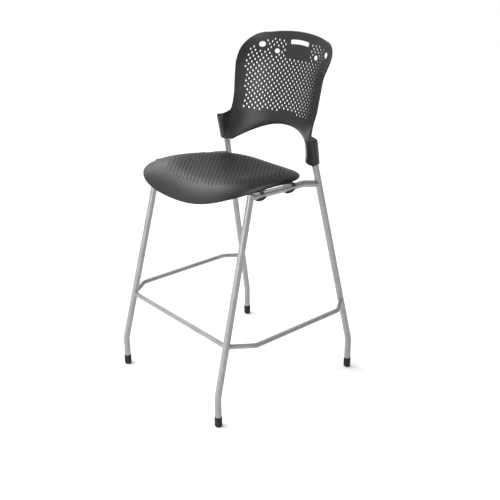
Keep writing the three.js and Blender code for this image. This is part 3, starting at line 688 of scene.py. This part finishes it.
def lens_slot():
    """The hand slot: round-cornered, bowed upward along its length."""
    half, height, sag, count, corner = 44.0, 7.2, 3.0, 13, 4.5
    z = BACK_TOP - 33.5
    bottom = [(x, z - height - sag + sag * 0.8 * (1 - (x / half) ** 2))
              for x in np.linspace(-half, half, count)]
    top = [(x, z + height - sag + sag * (1 - (x / half) ** 2)) for x in np.linspace(half, -half, count)]
    radii = ([corner] + [0] * (count - 2) + [corner]) * 2
    return resample(rounded(bottom + top, radii, 5, True), 2.0)


PITCH_ACROSS, PITCH_UP = 9.72, 9.6
LATTICE_FOOT, LATTICE_ASIDE = 4.3, 5.2
LATTICE_BOW = 0.0016  # one bow for the whole lattice, near the plate's own
HOLE = 4.0
HOLE_SIDES = 12
BEVEL = 0.5
# oval openings on each side: distance from the middle, height, half width and half height
OVALS = [(151.5, BACK_TOP - 53, 13.0, 9.2), (92.5, BACK_TOP - 70.5, 11.0, 8.0)]
OVAL_CLEAR = 6.5


def back_lattice():
    """Staggered points evenly spaced over the bowed plate itself, as (x, z)."""
    tilt = math.atan(RECLINE)
    xs = np.linspace(0, 215, 431)
    slope = 2 * LATTICE_BOW * xs + 4 * BOW_ENDS * xs ** 3
    lengths = np.sqrt(1 + (slope[1:] + slope[:-1]) ** 2 / 4) * np.diff(xs)
    arc = np.concatenate([[0], np.cumsum(lengths)])
    points = []
    for row in range(88, 122):
        for column in range(-24, 25):
            if (row + column) % 2:
                continue
            along = PITCH_ACROSS * column - LATTICE_ASIDE
            x = math.copysign(float(np.interp(abs(along), arc, xs)), along)
            rise = LATTICE_FOOT + PITCH_UP * row
            bow = LATTICE_BOW * x * x + BOW_ENDS * x ** 4 + RECLINE * BACK_DATUM_Z
            z = (rise + bow * math.sin(tilt)) / (math.cos(tilt) + RECLINE * math.sin(tilt))
            points.append((x, z))
    return points


def perforated(aside, z):
    """Whether the plate has a round hole at this distance from the middle and this height."""
    side = 169 + 13 * smooth_step(898, 1006, z) + 8 * smooth_step(1006, 1053, z)
    if z > 1080:
        side = 190 - 22 * ((z - 1080) / 34) ** 1.5
    bottom = 884 + 14 * smooth_step(60, 0, aside)
    top = 1119 - 8 * smooth_step(125, 175, aside)
    at_slot = aside < 62 and z > 1066
    at_oval = any(((aside - x) / (wide + OVAL_CLEAR)) ** 2 + ((z - oval_z) / (high + OVAL_CLEAR)) ** 2 < 1
                  for x, oval_z, wide, high in OVALS)
    return aside <= side and bottom <= z <= top and not at_slot and not at_oval


def back_holes():
    loops = [offset_loop(lens_slot(), BEVEL)]
    for x, z, wide, high in OVALS:
        for sign in (1, -1):
            loops.append(circle(sign * x, z, wide + BEVEL, high + BEVEL, 28))
    for x, z in back_lattice():
        if perforated(abs(x), z):
            narrow = HOLE / math.sqrt(1 + (2 * LATTICE_BOW * x) ** 2)
            loops.append(circle(x, z, narrow + BEVEL, HOLE + BEVEL, HOLE_SIDES))
    return loops


def filler(outline, holes, spacing, margin):
    """Even points inside an outline, kept clear of it and of the holes."""
    low, high = outline.min(0), outline.max(0)
    rows = np.arange(low[1], high[1], spacing)
    points = [(x + (spacing / 2 if i % 2 else 0), y) for i, y in enumerate(rows)
              for x in np.arange(low[0], high[0], spacing)]
    points = np.array(points)
    points = points[inside(points, outline)]
    clear = np.ones(len(points), bool)
    for a, b in outline:
        clear &= (points[:, 0] - a) ** 2 + (points[:, 1] - b) ** 2 > margin ** 2
    for hole in holes:
        centre = hole.mean(0)
        reach = np.abs(hole - centre).max(0) + margin
        clear &= (((points - centre) / reach) ** 2).sum(1) > 1
    return points[clear]


outline = offset_loop(back_outline(), -RIM)
holes = back_holes()
extra = filler(outline, holes, 6.0, 3.0)
# the sleeves curve more tightly, so they get closer points
near_sleeves = np.array([(x, z) for z in np.arange(BACK_FOOT_Z, 905, 2.5)
                         for x in np.arange(170, 240, 2.5)])
near_sleeves = np.vstack([near_sleeves, near_sleeves * (-1, 1)])
near_sleeves = near_sleeves[inside(near_sleeves, outline)]
clear = np.array([np.min(((outline - point) ** 2).sum(1)) > 3.0 for point in near_sleeves])
extra = np.vstack([extra, near_sleeves[clear] + rng.uniform(-0.2, 0.2, (clear.sum(), 2))])
back = Pile()
moulded(back, outline, holes, extra, back_front, back_rear, back_rim, (0, -1, 0), BEVEL)
back.make("back_moulding", PLASTIC, ["back_shell"])

# ---- seat shell ----
SEAT_HALF, SEAT_FRONT, SEAT_REAR = 225.0, 257.4, 182.0
SEAT_Y = SEAT_HIGH[1] - SEAT_REAR
SEAT_Z = 746.3
SEAT_TAPER = 0.156
SEAT_POWER_REAR, SEAT_POWER_FRONT = 3.68, 3.5  # how square the plan's corners are
SEAT_UNIT = 200  # the dish is worked out in this length
SEAT_SLOPE, SEAT_CURVE = 9.44, 4.76  # along the middle line
SEAT_CUP, SEAT_CUP_LESS = 15.1, 8.54  # across it
SEAT_DROP, SEAT_DROP_FRONT, SEAT_DROP_REAR = 19.9, 30.6, -8.1  # the rim's fall, and more or less of it
SEAT_EDGE_START, SEAT_EDGE_POWER = 0.545, 2.535
SEAT_ROLL, SEAT_ROLL_START = 7.0, 0.94  # the side edges turn down a little further
SEAT_PITCH, SEAT_HOLE = 8.9, 2.6
SEAT_SCREWS = {(row, side): node_centre(f"{row}_{side}_seat_screw") for row in ROWS for side, _ in SIDES}
SEAT_SCREW_CLEAR = 15


def seat_reach(rearward):
    """How far the plan reaches and how square it is, where rearward is positive and where it is not."""
    reach = np.where(rearward > 0, SEAT_REAR, SEAT_FRONT)
    return reach, np.where(rearward > 0, SEAT_POWER_REAR, SEAT_POWER_FRONT)


def seat_plan(flat):
    """Spread from the middle (0) to the rim (1), and the front-to-back part of the direction."""
    rearward = flat[:, 1] - SEAT_Y
    reach, power = seat_reach(rearward)
    b = rearward / reach
    a = flat[:, 0] / (SEAT_HALF * (1 - SEAT_TAPER * b))
    spread = (np.abs(a) ** power + np.abs(b) ** power) ** (1 / power)
    return spread, b / np.maximum(spread, 1e-9)


def seat_top(flat):
    x, y = flat[:, 0], flat[:, 1]
    spread, plan_y = seat_plan(flat)
    along = (y - SEAT_Y) / SEAT_UNIT
    drop = SEAT_DROP + SEAT_DROP_FRONT * np.maximum(-plan_y, 0) ** 1.5
    drop = drop + SEAT_DROP_REAR * np.maximum(plan_y, 0) ** 2
    edge = np.maximum((spread - SEAT_EDGE_START) / (1 - SEAT_EDGE_START), 0) ** SEAT_EDGE_POWER
    cup = (SEAT_CUP - SEAT_CUP_LESS * along) * (x / SEAT_UNIT) ** 2
    z = SEAT_Z - SEAT_SLOPE * along - SEAT_CURVE * along ** 2 + cup - drop * edge
    near_rim = np.clip((spread - SEAT_ROLL_START) / (1 - SEAT_ROLL_START), 0, None)
    z -= SEAT_ROLL * np.clip(1 - 1.6 * plan_y ** 2, 0, 1) * near_rim ** 2
    return np.stack([x, y, z], 1)


def seat_under(flat):
    return seat_top(flat) - SHELL * normals_of(seat_top, flat, (0, 0, 1))


def seat_rim(outline, front_points, rear_points):
    """A half round."""
    middle, half, thick_way, outward, _ = rim_frame(outline, front_points, rear_points, [0, 1])
    angles = -math.pi / 2 + math.pi * np.arange(RIM_STEPS + 1) / RIM_STEPS
    return np.array([middle + thick_way * half * math.sin(angle) + outward * half * math.cos(angle)
                     for angle in angles])


def seat_outline():
    turns = np.linspace(0, 2 * math.pi, 1440, endpoint=False)
    rearward, sideways = np.cos(turns), np.sin(turns)
    reach, power = seat_reach(rearward)
    plan_x = np.sign(sideways) * np.abs(sideways) ** (2 / power)
    plan_y = np.sign(rearward) * np.abs(rearward) ** (2 / power)
    loop = np.stack([SEAT_HALF * plan_x * (1 - SEAT_TAPER * plan_y), SEAT_Y + reach * plan_y], 1)
    return resample(loop[::-1], 3.5)


def seat_holes():
    """Staggered round holes over the middle of the seat, kept clear of the screws."""
    loops = []
    for row in range(-26, 20):
        y = SEAT_PITCH * row
        for column in range(-22, 23):
            if (row + column) % 2:
                continue
            x = SEAT_PITCH * column
            spread, plan_y = seat_plan(np.array([[x, y]]))
            limit = 0.80 - 0.06 * max(-float(plan_y[0]), 0)
            if spread[0] > limit:
                continue
            if any((x - screw_x) ** 2 + (y - screw_y) ** 2 < SEAT_SCREW_CLEAR ** 2
                   for screw_x, screw_y, _ in SEAT_SCREWS.values()):
                continue
            loops.append(circle(x, y, SEAT_HOLE + BEVEL, SEAT_HOLE + BEVEL, HOLE_SIDES))
    return loops


outline = offset_loop(seat_outline(), -RIM)
holes = seat_holes()
extra = filler(outline, holes, 6.5, 3.2)
seat = Pile()
moulded(seat, outline, holes, extra, seat_top, seat_under, seat_rim, (0, 0, 1), BEVEL)
for (row, _), (x, y, _) in SEAT_SCREWS.items():
    top = float(seat_under(np.array([[x, y]]))[0][2])
    low = CROSS_TUBES[row][2] + CROSS_RADIUS + 0.3
    post = [(0, low), (6.4, low), (7.0, low + 0.6), (7.0, top - 3), (8.0, top - 1), (11, top + 1),
            (0, top + 1)]
    turned(seat, post, (x, y, 0), UP, 28)
seat.make("seat_moulding", PLASTIC, ["seat_shell"])


# ---- glides, clips, bumpers, plugs and screws ----
GLIDE_RADIUS, GLIDE_TOP = 12.3, 36
GLIDE_PROFILE = rounded([(0, 0), (9.6, 0), (11.9, 2.8), (GLIDE_RADIUS, 8), (GLIDE_RADIUS, GLIDE_TOP - 3),
                         (11.9, GLIDE_TOP), (11.1, GLIDE_TOP), (11.1, GLIDE_TOP - 2), (0, GLIDE_TOP - 2)],
                        [0, 1.2, 1.6, 1.6, 0.8, 0.5, 0.3, 0, 0], 4)
GLIDE_RINGS, GLIDE_RING_RADIUS, GLIDE_RING_SIZE = (27.0, 30.0), 12.15, 0.4
CAP_PROFILE = [(0, -6), (8.5, -6), (8.5, 0), (11.0, 0), (11.2, 0.5), (11.2, 1.9), (10.6, 2.6), (0, 2.6)]
PLUG_PROFILE = [(0, -6), (9, -6), (9, 0), (10.6, 0), (10.6, 1.4), (9.8, 2.2), (0, 2.2)]
CLIP_WRAP = (24, 146)  # degrees around the rail, from its outer side over the top
CLIP_GAP, CLIP_THICK = 0.1, 3.2
BUMPER_STATIONS, BUMPER_SIDES = 21, 28
BUMPER_TOP = -4  # below the rail's axis
SLEEVE_SCREW_UP, SLEEVE_SCREW_OUT = 46, 20.6  # from the sleeve's foot, and from the upright's axis


def make_glide(side, row):
    node = f"{side}_{row}_foot_glide"
    x, y, _ = node_centre(node)
    foot = node_box(node)[0][2]
    pile = Pile()
    turned(pile, GLIDE_PROFILE, (x, y, foot), UP, 48)
    for height in GLIDE_RINGS:
        ring = circle(x, y, GLIDE_RING_RADIUS, GLIDE_RING_RADIUS, 48)
        line = np.column_stack([ring, np.full(len(ring), foot + height)])
        tube(pile, line, GLIDE_RING_SIZE, 8, closed=True)
    pile.make(f"{side}_{row}_glide", RUBBER, [node], 35)


def make_clip(side, sign, row):
    """A bent strip over the rail that holds the seat down."""
    node = f"{side}_{row}_seat_clip"
    low, high = node_box(node)
    arc = np.radians(np.linspace(*CLIP_WRAP, 24))
    bend = np.stack([np.cos(arc), 0 * arc, np.sin(arc)], 1)
    rows = []
    for point in (on_rail(low[1] + 1.0), on_rail(high[1] - 1.0)):
        inner = point + (LEG_RADIUS + CLIP_GAP) * bend
        outer = point + (LEG_RADIUS + CLIP_THICK) * bend
        rows.append(mirror(np.vstack([inner, outer[::-1]]), sign))
    count = len(rows[0])
    pile = Pile()
    pile.add(np.vstack(rows), handed(ring_faces(2, count) + end_faces(2, count), sign))
    piece = pile.make(f"{side}_{row}_clip", NYLON, [node], 35)
    bevel = piece.modifiers.new("round", "BEVEL")
    bevel.width = 0.5 * MM
    bevel.segments = 2
    bevel.limit_method = "ANGLE"


def make_bumper(side, sign, row):
    """A block under the rail that the next chair down carries, lower in its middle."""
    node = f"{side}_{row}_stacking_bumper"
    low, high = node_box(node)
    centre = on_rail((low[1] + high[1]) / 2)
    arc = np.linspace(0, 2 * math.pi, BUMPER_SIDES, endpoint=False)
    across, up = np.cos(arc), np.sin(arc)
    rings = []
    for t in np.linspace(-1, 1, BUMPER_STATIONS):
        depth = (centre[2] - low[2]) * (1 - 0.52 * abs(t) ** 2.6)
        width = (high[0] - low[0]) / 2 * (1 - 0.25 * abs(t) ** 4)
        shape_x = width * np.sign(across) * np.abs(across) ** 0.7
        shape_z = BUMPER_TOP + np.where(up < 0, -(depth + BUMPER_TOP) * np.abs(up) ** 0.7, up)
        rings.append(np.stack([centre[0] + shape_x,
                               np.full(BUMPER_SIDES, centre[1] + t * (high[1] - low[1]) / 2),
                               centre[2] + shape_z], 1))
    faces = ring_faces(BUMPER_STATIONS, BUMPER_SIDES) + end_faces(BUMPER_STATIONS, BUMPER_SIDES)
    pile = Pile()
    pile.add(mirror(np.vstack(rings), sign), handed(faces, sign))
    pile.make(f"{side}_{row}_bumper", RUBBER, [node], 45)


def make_stopper(name, node, profile, base, direction, sides):
    """A turned nylon piece in a tube's open end."""
    pile = Pile()
    turned(pile, profile, base, direction, sides)
    pile.make(name, NYLON, [node], 35)


def pan_screw(name, node, base, direction, head, height, shank, length):
    """A pan head with a recess in its middle, standing on base and pointing along direction."""
    profile = [(0, -length), (shank * 0.6, -length), (shank, -length + 2), (shank, 0), (head, 0),
               (head, height * 0.4), (head * 0.86, height * 0.8), (head * 0.6, height),
               (head * 0.42, height), (head * 0.3, height * 0.35), (0, height * 0.35)]
    pile = Pile()
    turned(pile, profile, base, direction, 28)
    pile.make(name, ZINC, [node], 30)


for side, sign in SIDES:
    for row in ROWS:
        make_glide(side, row)
    make_stopper(f"{side}_leg_cap", f"{side}_leg_top_cap", CAP_PROFILE,
                 mirror(on_leg(LEG_TOP_Z + 0.2), sign), mirror(LEG_WAY, sign), 36)
    for row in ROWS:
        make_clip(side, sign, row)
    for row in ROWS:
        make_bumper(side, sign, row)
    make_stopper(f"{side}_end_plug", f"{side}_upright_end_plug", PLUG_PROFILE,
                 mirror(SLEEVE_FOOT + UPRIGHT * PLUG_INSIDE, sign), mirror(UPRIGHT, sign), 32)

for (row, side), (x, y, _) in SEAT_SCREWS.items():
    node = f"{row}_{side}_seat_screw"
    low, high = node_box(node)
    pan_screw(f"{row}_{side}_screw", node, (x, y, low[2] + 3.0), (0, 0, -1), head=5.2, height=3.0,
              shank=2.4, length=high[2] - low[2] - 4)

for side, sign in SIDES:
    way = mirror(UPRIGHT, sign)
    outward = unit(np.array([0, 1.0, 0]) - way * way[1])
    axis_point = mirror(SLEEVE_FOOT + UPRIGHT * SLEEVE_SCREW_UP, sign)
    pan_screw(f"{side}_socket_screw", f"{side}_sleeve_screw", axis_point + outward * SLEEVE_SCREW_OUT,
              outward, head=4.8, height=2.6, shank=2.4, length=12)


# ---- floor, light and camera ----
def stage_mesh(name, points, faces, material):
    mesh = bpy.data.meshes.new(name)
    mesh.from_pydata(points, [], faces)
    mesh.polygons.foreach_set("use_smooth", [True] * len(mesh.polygons))
    mesh.materials.append(material)
    piece = bpy.data.objects.new(name, mesh)
    bpy.context.scene.collection.objects.link(piece)


stage_mesh("floor", [(-30, -30, 0), (30, -30, 0), (30, 30, 0), (-30, 30, 0)], [(0, 1, 2, 3)], FLOOR)


def soft_light(name, place, target, width, height, power):
    data = bpy.data.lights.new(name, "AREA")
    data.shape = "RECTANGLE"
    data.size, data.size_y = width, height
    data.energy = power
    light = bpy.data.objects.new(name, data)
    light.location = place
    light.rotation_euler = (Vector(target) - Vector(place)).to_track_quat("-Z", "Y").to_euler()
    bpy.context.scene.collection.objects.link(light)


# the sky is brighter towards one side; the sun is wide and soft, and leaves no glint
SKY_BRIGHT_SIDE = (-0.66, -0.75, 0.0)
SKY_DIM, SKY_BRIGHT = 0.08, 0.9
world = bpy.data.worlds.new("studio")
world.use_nodes = True
sky = world.node_tree
place = sky.nodes.new("ShaderNodeTexCoord")
lean = sky.nodes.new("ShaderNodeVectorMath")
lean.operation = "DOT_PRODUCT"
lean.inputs[1].default_value = SKY_BRIGHT_SIDE
strength = sky.nodes.new("ShaderNodeMapRange")
strength.inputs["From Min"].default_value = -1.0
strength.inputs["To Min"].default_value = SKY_DIM
strength.inputs["To Max"].default_value = SKY_BRIGHT
sky.links.new(place.outputs["Generated"], lean.inputs[0])
sky.links.new(lean.outputs["Value"], strength.inputs["Value"])
sky.links.new(strength.outputs["Result"], sky.nodes["Background"].inputs["Strength"])
sky.nodes["Background"].inputs["Color"].default_value = (1, 1, 1, 1)
bpy.context.scene.world = world
sun_data = bpy.data.lights.new("sky_panel", "SUN")
sun_data.energy = 2.5
sun_data.angle = math.radians(50)
sun = bpy.data.objects.new("sky_panel", sun_data)
sun.visible_glossy = False
sun.rotation_euler = Vector((0.72, 0.62, -1.0)).to_track_quat("-Z", "Y").to_euler()
bpy.context.scene.collection.objects.link(sun)
soft_light("key", (-3.4, 0.9, 3.0), (0, 0, 0.8), width=2.4, height=2.0, power=44)
soft_light("rear_panel", (0.3, 2.4, 3.8), (0, 0, 0.8), width=1.4, height=1.2, power=40)
soft_light("front_panel", (0.5, -3.2, 1.3), (0, 0.1, 0.95), width=1.3, height=1.6, power=50)
bpy.context.scene.view_settings.view_transform = "Standard"

CAMERA_AZIMUTH, CAMERA_ELEVATION, CAMERA_DISTANCE, CAMERA_LENS = 49.0, 23.0, 2904.1, 59.88
TARGET_REARWARD = 68.15  # from the middle of the feet
TARGET_HEIGHT = 0.3729  # as a share of the back's height
target = np.array([0, (FRONT_FOOT[1] + REAR_FOOT[1]) / 2 + TARGET_REARWARD, BACK_TOP * TARGET_HEIGHT])
turn, tilt = math.radians(CAMERA_AZIMUTH), math.radians(CAMERA_ELEVATION)
toward = np.array([math.sin(turn) * math.cos(tilt), -math.cos(turn) * math.cos(tilt), math.sin(tilt)])
data = bpy.data.cameras.new("camera")
data.lens = CAMERA_LENS
data.sensor_width = 36
camera = bpy.data.objects.new("camera", data)
camera.location = (target + toward * CAMERA_DISTANCE) * MM
camera.rotation_euler = Vector(-toward).to_track_quat("-Z", "Y").to_euler()
bpy.context.scene.collection.objects.link(camera)
bpy.context.scene.camera = camera
